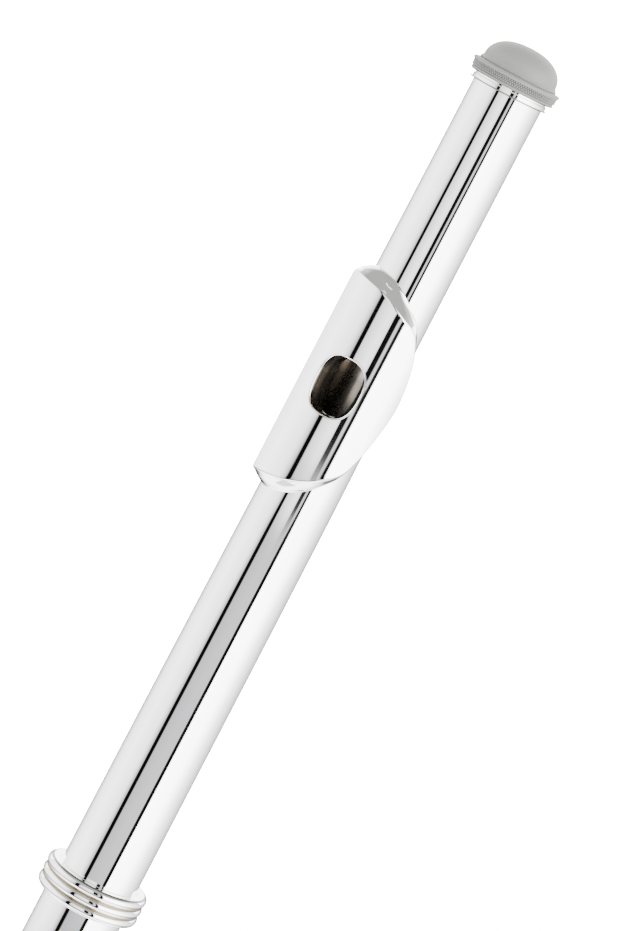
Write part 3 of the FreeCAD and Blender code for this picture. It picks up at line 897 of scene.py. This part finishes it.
@dataclass
class Crown:
    """The domed cap with its flange, beaded band and collar."""

    screw_radius: float = 2.05 * MM
    screw_depth: float = 11 * MM
    plug_radius: float = 8.25 * MM
    plug_gap: float = 0.02 * MM
    lip_radius: float = 9.85 * MM
    lip_height: float = 0.2 * MM
    collar_radius: float = 9.4 * MM
    collar_low: float = 0.4 * MM
    collar_high: float = 1.2 * MM
    groove_depth: float = 0.35 * MM
    groove_low: float = 1.35 * MM
    groove_high: float = 1.7 * MM
    lower_ridge: float = 10.6 * MM
    lower_ridge_height: float = 2.2 * MM
    upper_ridge: float = 11.1 * MM
    upper_ridge_drop: float = 1.15 * MM
    ridge_round: float = 0.45 * MM
    band_inset: float = 0.25 * MM
    band_margin: float = 0.1 * MM
    flange_radius: float = 9.85 * MM
    flange_drop: float = 0.3 * MM
    edge: float = 0.12 * MM
    dome_radius: float = 9.35 * MM
    dome_rise: float = 6.35 * MM
    dome_margin: float = 0.25 * MM
    dome_steps: int = 36
    squareness: float = 2.3
    bead_circle: float = 10.55 * MM
    bead_radius: float = 0.26 * MM
    bead_count: int = 112
    bead_rows: Triple = (2.9 * MM, 3.35 * MM, 3.8 * MM)
    smooth_angle: float = 35.0
    bead_smooth_angle: float = 60.0
    facing_up: float = 0.3
    facing_down: float = -0.35
    frosted_height: float = 1.8 * MM
    underside_height: float = 2.3 * MM
    lip_reach: float = 0.45 * MM

    def __post_init__(self) -> None:
        """Reads the crown's ends from the frame."""
        low, high = node_size("crown")
        self.plug_base = low.z
        self.top = high.z - self.dome_margin
        self.base = node_size("head_tube")[1].z

    def foot(self) -> Profile:
        """The plug, the lip, the collar and the groove over it.

        Returns:
            (radius, height) points from the screw's hole upwards.
        """
        base, groove = self.base, self.collar_radius - self.groove_depth
        line = [(self.screw_radius, self.plug_base), (self.plug_radius, self.plug_base),
                (self.plug_radius, base + self.plug_gap)]
        line += arc((self.lip_radius - self.edge, base + self.lip_height), self.edge, -90, 90, 6)
        line += [(self.collar_radius, base + self.collar_low), (self.collar_radius, base + self.collar_high)]
        return [*line, (groove, base + self.groove_low), (groove, base + self.groove_high)]

    def band(self, dome_base: float) -> Profile:
        """The two ridges with the beads' band between them, and the flange.

        Args:
            dome_base: The height at which the dome starts.

        Returns:
            (radius, height) points.
        """
        low, high = self.base + self.lower_ridge_height, dome_base - self.upper_ridge_drop
        inner, clear = self.bead_circle - self.band_inset, self.ridge_round + self.band_margin
        line = arc((self.lower_ridge - self.ridge_round, low), self.ridge_round, -80, 70, 12)
        line += [(inner, low + clear), (inner, high - clear)]
        line += arc((self.upper_ridge - self.ridge_round, high), self.ridge_round, -70, 80, 12)
        flange_round = self.edge * 2
        return line + arc((self.flange_radius - flange_round, dome_base - self.flange_drop), flange_round,
                          -80, 80, 8)

    def profile(self) -> Profile:
        """The crown's outline from its plug up to the pole.

        Returns:
            (radius, height) points.
        """
        dome_base = self.top - self.dome_rise
        line = self.foot() + self.band(dome_base)
        power = 2 / self.squareness
        for step in range(1, self.dome_steps):
            turn = math.pi / 2 * step / self.dome_steps
            line.append((self.dome_radius * math.cos(turn) ** power,
                         dome_base + self.dome_rise * math.sin(turn) ** power))
        return [*line, (0.0, self.top)]

    def beads(self) -> bpy.types.Object:
        """The row of beads round the band.

        Returns:
            All beads as one piece.
        """
        deselect()
        bpy.ops.mesh.primitive_ico_sphere_add(subdivisions=2, radius=self.bead_radius,
                                              location=(self.bead_circle, 0, self.base))
        first = bpy.context.object
        bpy.ops.object.transform_apply(location=True, rotation=True, scale=True)
        copies = []
        for row, height in enumerate(self.bead_rows):
            for step in range(self.bead_count):
                turn = Matrix.Rotation(math.tau * (step + row % 2 / 2) / self.bead_count, 4, "Z")
                copies.append(copied(first, Matrix.Translation((0, 0, height)) @ turn))
        bpy.data.objects.remove(first)
        beads = joined(copies, "crown_beads")
        settle(beads, self.bead_smooth_angle)
        return beads

    def frost_and_shade(self, cap: bpy.types.Object) -> None:
        """Frosts the dome and the band, and shades the lip and the band's underside.

        Args:
            cap: The crown's shell, which is polished all over.
        """
        frosted, shaded = 1, 2
        cap.data.materials.append(FROSTED.material())
        cap.data.materials.append(SHADED.material())
        for face in cap.data.polygons:
            distance, height = face.center.to_2d().length, face.center.z - self.base
            outside = distance > self.collar_radius
            in_well = distance < 1.5 * self.screw_radius and face.normal.z <= self.facing_up
            # Faces under the band and on the lip get painted shadow. The dome and the band get frost.
            if height > self.frosted_height and not in_well:
                under = face.normal.z < self.facing_down and outside and height < self.underside_height
                face.material_index = shaded if under else frosted
            elif 0 < height < self.lip_reach and outside:
                face.material_index = shaded

    def build(self) -> None:
        """Turns the crown and sets its beads."""
        well_top = self.plug_base + self.screw_depth
        line = self.profile()
        line += [(0.0, well_top), (self.screw_radius, well_top), line[0]]
        cap = self.closed_cap(line)
        dressed(cap, SILVER, "crown", Slot.SILVER, "crown")
        self.frost_and_shade(cap)
        dressed(self.beads(), FROSTED, "crown", Slot.SILVER)

    def closed_cap(self, line: Profile) -> bpy.types.Object:
        """Turns the outer skin and the screw's hole, and joins them at the hole's rim.

        Args:
            line: The whole outline, through both poles.

        Returns:
            The crown as one closed shell.
        """
        pole = next(index for index, point in enumerate(line) if point[0] == 0.0)
        skin = turned("crown_cap", line[:pole + 1])
        well = turned("crown_well", [line[0], line[-2], line[-3]])
        cap = joined([skin, well], "crown_cap")
        bpy.ops.object.mode_set(mode="EDIT")
        bpy.ops.mesh.select_all(action="SELECT")
        bpy.ops.mesh.remove_doubles(threshold=10 * MERGE_GAP)
        settle(cap, self.smooth_angle)
        return cap


@dataclass
class Barrel:
    """The barrel's sleeve and the three round rings at its mouth."""

    wall: float = 0.46 * MM
    edge: float = 0.12 * MM
    ring_count: int = 3
    ring_foot: float = 0.94
    bead_round: float = 1.3 * MM
    bead_circle: float = 11.85 * MM
    ring_steps: int = 36
    ring_end: float = 100.0
    ring_smooth_angle: float = 50.0
    pitch: float = 2.5 * MM
    # The fields below shape painted shade: the bands in the creases between the rings, and the shaded band
    # on the top ring's shoulder.
    crease_shade_sides: int = 12
    crease_shade_smooth_angle: float = 80.0
    crease_shade_round: float = 0.5 * MM
    shoulder: tuple[float, float] = (52.0, 82.0)
    crease_shade_circle: float = 12.28 * MM

    def __post_init__(self) -> None:
        """Reads the sleeve and the rings' heights from the frame."""
        self.low, self.high = node_size("barrel_sleeve")
        top = node_size("barrel_rings")[1].z
        self.heights = [top - self.bead_round - step * self.pitch for step in range(self.ring_count)]

    def build_sleeve(self) -> None:
        """Turns the sleeve."""
        low, high, outer, edge = self.low.z, self.high.z, self.high.x, self.edge
        inner = outer - self.wall
        line = [(inner, low), (outer - edge, low), (outer, low + edge), (outer, high - edge),
                (outer - edge, high), (inner, high), (inner, low)]
        dressed(turned("barrel_tube", line), SILVER, "body", Slot.SILVER, "barrel_sleeve")

    def build_rings(self) -> None:
        """Turns the rings in one piece and shades the top ring's shoulder."""
        outer, foot, last = self.high.x, self.bead_round * self.ring_foot, self.ring_count - 1
        half = math.degrees(math.asin(self.pitch / 2 / self.bead_round))
        line = [(outer, self.heights[0] + foot)]
        for step, height in enumerate(self.heights):
            start, end = (self.ring_end if step == 0 else half), (-self.ring_end if step == last else -half)
            line += arc((self.bead_circle, height), self.bead_round, start, end, self.ring_steps)
        line += [(outer, self.heights[last] - foot), line[0]]
        beads = turned("barrel_beads", line, angle=self.ring_smooth_angle)
        dressed(beads, SILVER, "body", Slot.SILVER, "barrel_rings")
        beads.data.materials.append(SHADED.material())
        # Painted shadow: the top ring's outer shoulder takes the dark shaded silver.
        low_band, high_band = (math.sin(math.radians(turn)) for turn in self.shoulder)
        for face in beads.data.polygons:
            if face.center.z > self.heights[0] and low_band < face.normal.z < high_band:
                if face.center.to_2d().length > self.bead_circle:
                    face.material_index = 1

    def build_crease_shade_bands(self) -> None:
        """Turns the thin warm bands of painted shade that lie in the creases between the rings."""
        crease_shades = []
        # Each band is painted shade: a small dark torus in the crease between two rings.
        for height in self.heights[1:]:
            ring = arc((self.crease_shade_circle, height + self.pitch / 2), self.crease_shade_round, 0, 360, self.crease_shade_sides)
            crease_shades.append(turned("barrel_crease_shade", ring, angle=self.crease_shade_smooth_angle))
        dressed(joined(crease_shades, "barrel_crease_shades"), PAINTED_CREASE_SHADE, "body", Slot.SILVER)

    def build(self) -> None:
        """Makes the sleeve, the rings and the painted shade in the creases between them."""
        self.build_sleeve()
        self.build_rings()
        self.build_crease_shade_bands()


# ---- body joint, foot joint and keywork ----

HARD_EDGE = 0.12 * MM
SOFT_EDGE = 0.3 * MM


@dataclass
class CarriedPart:
    """A part whose CAD shape is right: its facets are merged, its edges eased and its walls shaded round."""

    node: str
    body: str
    slot: Slot
    edge: float = HARD_EDGE
    merge_gap: float = 0.002 * MM
    flat_angle: float = 0.5
    edge_angle: float = 40.0
    smooth_angle: float = 35.0
    wall_weight: int = 100

    def merged_copy(self) -> bpy.types.Object:
        """Copies the CAD mesh and merges its loose triangles into whole faces.

        Returns:
            The copy, selected and in object mode.
        """
        deselect()
        source = frame["nodes"][self.node]
        piece = source.copy()
        piece.data = source.data.copy()
        piece.name = f"{self.node}_finished"
        bpy.context.collection.objects.link(piece)
        piece.parent = None
        piece.matrix_world = Matrix.Identity(4)
        for constraint in list(piece.constraints):
            piece.constraints.remove(constraint)
        piece.select_set(True)
        bpy.context.view_layer.objects.active = piece
        bpy.ops.object.mode_set(mode="EDIT")
        bpy.ops.mesh.select_all(action="SELECT")
        bpy.ops.mesh.remove_doubles(threshold=self.merge_gap)
        bpy.ops.mesh.dissolve_limited(angle_limit=math.radians(self.flat_angle))
        bpy.ops.object.mode_set(mode="OBJECT")
        return piece

    def build(self) -> None:
        """Eases the copy's edges, shades its walls true to their shape and dresses it."""
        piece = self.merged_copy()
        ease = piece.modifiers.new("eased_edges", "BEVEL")
        ease.width = self.edge
        ease.segments = 2
        ease.limit_method = "ANGLE"
        ease.angle_limit = math.radians(self.edge_angle)
        bpy.ops.object.modifier_apply(modifier=ease.name)
        bpy.ops.object.shade_smooth_by_angle(angle=math.radians(self.smooth_angle))
        true_walls = piece.modifiers.new("true_walls", "WEIGHTED_NORMAL")
        true_walls.keep_sharp = True
        true_walls.weight = self.wall_weight
        bpy.ops.object.modifier_apply(modifier=true_walls.name)
        dressed(piece, FINISHES[self.slot], self.body, self.slot, self.node)


@dataclass
class CupCaps:
    """The low dome and the raised rim on top of each key cup."""

    key: str
    pad_to_top: float = 2.04 * MM
    brim: float = 0.5 * MM
    rise: float = 1.15 * MM
    sink: float = 0.2 * MM
    rim_round: float = 0.3 * MM
    rim_turn: float = 165.0
    dome_inset: float = 2.2
    dome_start: float = 0.1 * MM
    dome_steps: int = 12
    hollow: float = 0.5 * MM
    rim_steps: int = 10
    place_digits: int = 7
    smooth_angle: float = 35.0
    sides: int = 72

    def corner(self, vertex: bpy.types.MeshVertex) -> Triple:
        """A vertex's place, rounded so that the corners of loose triangles meet."""
        return tuple(round(part, self.place_digits) for part in vertex.co)

    def pads(self) -> list[list[bpy.types.MeshPolygon]]:
        """Sorts the faces of the key's pads into one list for each pad.

        Returns:
            The lists, from the lowest pad up.
        """
        source = frame["nodes"][self.key.replace("_key", "_pad")].data
        pads: list[tuple[set[Triple], list[bpy.types.MeshPolygon]]] = []
        for face in source.polygons:
            corners = {self.corner(source.vertices[index]) for index in face.vertices}
            faces = [face]
            apart = []
            for pad_corners, pad_faces in pads:
                if corners & pad_corners:
                    corners |= pad_corners
                    faces = pad_faces + faces
                else:
                    apart.append((pad_corners, pad_faces))
            pads = [*apart, (corners, faces)]
        return [faces for corners, faces in sorted(pads, key=lambda pad: min(place[2] for place in pad[0]))]

    def disc(self, faces: list[bpy.types.MeshPolygon]) -> tuple[Vector, Vector, float]:
        """Measures one pad.

        Args:
            faces: The pad's faces.

        Returns:
            Its middle, the direction away from the tube and its radius.
        """
        vertices = frame["nodes"][self.key.replace("_key", "_pad")].data.vertices
        corners = sorted({self.corner(vertices[index]) for face in faces for index in face.vertices})
        points = [Vector(place) for place in corners]
        middle = sum(points, Vector()) / len(points)
        away = max(faces, key=lambda face: face.area).normal.normalized()
        if away.dot(Vector((middle.x, middle.y, 0))) < 0:
            away = -away
        radius = max((point - middle - away * (point - middle).dot(away)).length for point in points)
        return middle, away, radius

    def cap(self, radius: float) -> bpy.types.Object:
        """Turns one cap about the upright axis.

        Args:
            radius: The pad's radius.

        Returns:
            The cap, closed underneath.
        """
        edge = radius + self.brim - self.rim_round
        line = [(self.hollow, -self.sink), (edge, -self.sink)]
        line += arc((edge, 0.0), self.rim_round, 0, self.rim_turn, self.rim_steps)
        dome, swell = edge - self.dome_inset * self.rim_round, self.rise - self.dome_start
        for step in range(self.dome_steps):
            turn = math.pi / 2 * step / self.dome_steps
            line.append((dome * math.cos(turn), self.dome_start + swell * math.sin(turn)))
        cap = turned(f"{self.key}_cap", [*line, (0.0, self.rise)], sides=self.sides, angle=self.smooth_angle)
        bpy.ops.object.mode_set(mode="EDIT")
        bpy.ops.mesh.select_all(action="DESELECT")
        bpy.ops.mesh.select_non_manifold()
        bpy.ops.mesh.edge_face_add()
        settle(cap, self.smooth_angle)
        return cap

    def build(self) -> None:
        """Turns a cap for each cup and sets it on the cup's top."""
        caps = []
        for middle, away, radius in map(self.disc, self.pads()):
            cap = self.cap(radius)
            lie = away.to_track_quat("Z", "Y").to_matrix().to_4x4()
            cap.data.transform(Matrix.Translation(middle + away * self.pad_to_top) @ lie)
            caps.append(cap)
        dressed(joined(caps, f"{self.key}_caps"), SILVER, self.key, Slot.SILVER)


def carried_parts(done: set[str]) -> list[CarriedPart]:
    """The parts that no other class has made.

    Args:
        done: Nodes that are already replaced.

    Returns:
        One carried part for each other node.
    """
    bodies = {node: body for body, nodes in frame["record"]["behaviour"]["bodies"].items() for node in nodes}
    slots = {entry["node"]: Slot(entry["material_slot"]) for entry in frame["record"]["subparts"]}
    parts = []
    for node in frame["nodes"]:
        if node in done:
            continue
        soft = slots[node] in (Slot.PAD, Slot.CORK)
        parts.append(CarriedPart(node, bodies[node], slots[node], edge=SOFT_EDGE if soft else HARD_EDGE))
    return parts


# ---- studio ----

Panels = tuple[tuple[float, float], ...]


def grey(level: float) -> tuple[float, float, float, float]:
    """A grey light of one strength, with its alpha."""
    return (level, level, level, 1.0)


@dataclass
class Studio:
    """A pale floor, soft light, and the dark edges of the light panels that polished tubes mirror."""

    azimuth: float = 16.2
    distance: float = 870 * MM
    nearest: float = 10 * MM
    camera_height: float = 715.5 * MM
    pitch: float = 8.925
    aim_aside: float = -0.65 * MM
    lean: float = 27.6
    lens: float = 144.3
    floor_radius: float = 200 * MM
    floor_sides: int = 96
    floor_gap: float = 0.5 * MM

    # What stands round the flute, as (angle from the camera to the right, brightness). The near-black stops
    # are the gaps between the light panels. The front differs below and above the low panels' top.
    left_side: Panels = ((-180, 0.15), (-167, 0.3), (-152, 1.3), (-125, 3.6), (-90, 4.4), (-52, 3.2))
    low_front: Panels = ((-44, 1.9), (-39, 1.05), (-36.6, 0.005), (-27.4, 0.005), (-26, 0.95), (0, 1.15),
                         (20, 1.15), (21.2, 0.006), (29.6, 0.006), (31.6, 10.0))
    high_front: Panels = ((-44, 2.2), (-38.5, 1.3), (-35.2, 0.005), (-27.4, 0.005), (-26.4, 1.7), (-4, 3.0),
                          (5, 2.6), (7, 0.008), (16, 0.008), (17.5, 1.4), (21.5, 1.4), (22.8, 0.006),
                          (28.5, 0.006), (31, 10.0))
    right_side: Panels = ((70, 9.0), (102, 4.0), (130, 2.0), (150, 1.2), (167, 0.3), (180, 0.15))
    low_panels_top: tuple[float, float] = (-0.163, -0.152)

    # Directions, each as the span of one axis of the direction, and the grey that lies past it.
    rear_span: tuple[float, float] = (0.6, 0.8)
    rear_cap: float = 0.5
    rear_height: tuple[float, float] = (0.1, 0.2)
    rear_light: float = 7.0
    ceiling_span: tuple[float, float] = (0.5, 0.75)
    ceiling_tone: Colour = (0.62, 0.63, 0.61)
    dim_span: tuple[float, float] = (-0.36, -0.28)
    dim_tone: float = 0.32
    ground_span: tuple[float, float] = (-0.58, -0.8)
    ground_light: float = 6.0
    soft_light: float = 1.8
    backdrop_light: float = 30.0
    cool_tint: float = 1.03
    cool_below: float = 1.2
    cool_within: float = 40.0

    def camera(self) -> None:
        """Sets the camera, tipped so that the tube leans across the frame."""
        turn = math.radians(self.azimuth)
        away = Vector((math.sin(turn), -math.cos(turn), 0))
        aside = Vector((math.cos(turn), math.sin(turn), 0))
        place = away * self.distance + Vector((0, 0, self.camera_height))
        aim_height = self.camera_height - self.distance * math.tan(math.radians(self.pitch))
        aim = aside * self.aim_aside + Vector((0, 0, aim_height))
        back = (place - aim).normalized()
        right = Vector((0, 0, 1)).cross(back).normalized()
        up = back.cross(right)
        roll = math.radians(self.lean)
        rolled_right = right * math.cos(roll) + up * math.sin(roll)
        rolled_up = back.cross(rolled_right)
        data = bpy.data.cameras.new("camera")
        data.lens = self.lens
        data.clip_start = self.nearest
        camera = bpy.data.objects.new("camera", data)
        bpy.context.collection.objects.link(camera)
        axes = Matrix((rolled_right, rolled_up, back)).transposed().to_4x4()
        camera.matrix_world = Matrix.Translation(place) @ axes
        bpy.context.scene.camera = camera

    def panels_around(self, tree: bpy.types.NodeTree, direction: Socket) -> Socket:
        """The light panels that stand round the flute.

        Args:
            tree: The world's nodes.
            direction: The direction.

        Returns:
            Their colour.
        """
        turn = add_node(tree, "ShaderNodeMapping")
        turn.inputs["Rotation"].default_value = (0, 0, -math.radians(self.azimuth))
        tree.links.new(direction, turn.inputs["Vector"])
        axes = add_node(tree, "ShaderNodeSeparateXYZ")
        tree.links.new(turn.outputs["Vector"], axes.inputs["Vector"])
        forward = worked_out(tree, "MULTIPLY", axes.outputs["Y"], -1.0)
        angle = worked_out(tree, "ARCTAN2", axes.outputs["X"], forward)
        share = mapped(tree, angle, (-math.pi, math.pi))
        low = self.panel_ramp(tree, share, (*self.left_side, *self.low_front, *self.right_side))
        high = self.panel_ramp(tree, share, (*self.left_side, *self.high_front, *self.right_side))
        step = mapped(tree, axes.outputs["Z"], self.low_panels_top)
        lit = mixed(tree, step, low, high)
        rear = mapped(tree, axes.outputs["Y"], self.rear_span, (0.0, self.rear_cap))
        behind = worked_out(tree, "MINIMUM", axes.outputs["Z"], rear)
        return mixed(tree, mapped(tree, behind, self.rear_height), lit, grey(self.rear_light))

    def surroundings(self) -> None:
        """Builds the world as a plain function of direction."""
        world = bpy.data.worlds.new("studio")
        bpy.context.scene.world = world
        world.use_nodes = True
        tree = world.node_tree
        tree.nodes.clear()
        direction = add_node(tree, "ShaderNodeTexCoord").outputs["Generated"]
        axes = add_node(tree, "ShaderNodeSeparateXYZ")
        tree.links.new(direction, axes.inputs["Vector"])
        height = axes.outputs["Z"]
        around = self.panels_around(tree, direction)
        above = mixed(tree, mapped(tree, height, self.ceiling_span), around, (*self.ceiling_tone, 1.0))
        dim = mapped(tree, height, self.dim_span, (self.dim_tone, 1.0))
        dimmed = mixed(tree, 1.0, above, dim, "MULTIPLY")
        mirrored = mixed(tree, mapped(tree, height, self.ground_span), dimmed, grey(self.ground_light))
        ray = add_node(tree, "ShaderNodeLightPath").outputs
        lit = mixed(tree, ray["Is Diffuse Ray"], mirrored, grey(self.soft_light))
        seen = mixed(tree, ray["Is Camera Ray"], lit, grey(self.backdrop_light))
        light = add_node(tree, "ShaderNodeBackground")
        tree.links.new(seen, light.inputs["Color"])
        result = add_node(tree, "ShaderNodeOutputWorld")
        tree.links.new(light.outputs[0], result.inputs["Surface"])

    def panel_ramp(self, tree: bpy.types.NodeTree, share: Socket, panels: Panels) -> Socket:
        """The brightness round the flute.

        Args:
            tree: The world's nodes.
            share: The angle round the flute, from 0 to 1.
            panels: Each stop's angle in degrees and its brightness.

        Returns:
            The colour of the panels.
        """
        ramp = add_node(tree, "ShaderNodeValToRGB")
        stops = ramp.color_ramp.elements
        peak = max(level for _, level in panels)
        while len(stops) < len(panels):
            stops.new(0.5)
        for stop, (degrees, _) in zip(stops, panels):
            stop.position = (degrees + 180) / 360
        for stop, (degrees, level) in zip(stops, panels):
            tone = level / peak
            cool = self.cool_tint if level < self.cool_below and abs(degrees) < self.cool_within else 1.0
            stop.color = (tone, tone / math.sqrt(cool), tone * cool, 1)
        tree.links.new(share, ramp.inputs["Fac"])
        return mixed(tree, 1.0, ramp.outputs["Color"], grey(peak), "MULTIPLY")

    def floor(self) -> None:
        """Lays a round pale floor under the foot joint."""
        deselect()
        level = CAD_BOX[0][2] - self.floor_gap
        bpy.ops.mesh.primitive_circle_add(vertices=self.floor_sides, radius=self.floor_radius,
                                          fill_type="NGON", location=(0, 0, level))
        ground = bpy.context.object
        ground.name = "floor"
        ground.data.materials.append(PALE_FLOOR.material())

    def build(self) -> None:
        """Sets up the camera, the surroundings and the floor."""
        self.camera()
        self.surroundings()
        self.floor()


def main() -> None:
    """Builds the flute part by part."""
    logging.basicConfig(level=logging.INFO, format="%(message)s")
    Studio().build()
    tube = HeadTube()
    tube.build()
    LipPlate(tube).build()
    Crown().build()
    Barrel().build()
    remodelled = {"head_tube", "lip_plate", "riser", "crown", "barrel_sleeve", "barrel_rings"}
    for part in carried_parts(remodelled):
        part.build()
    for node in frame["nodes"]:
        if node.endswith("_key"):
            CupCaps(node).build()


if __name__ == "__main__":
    main()
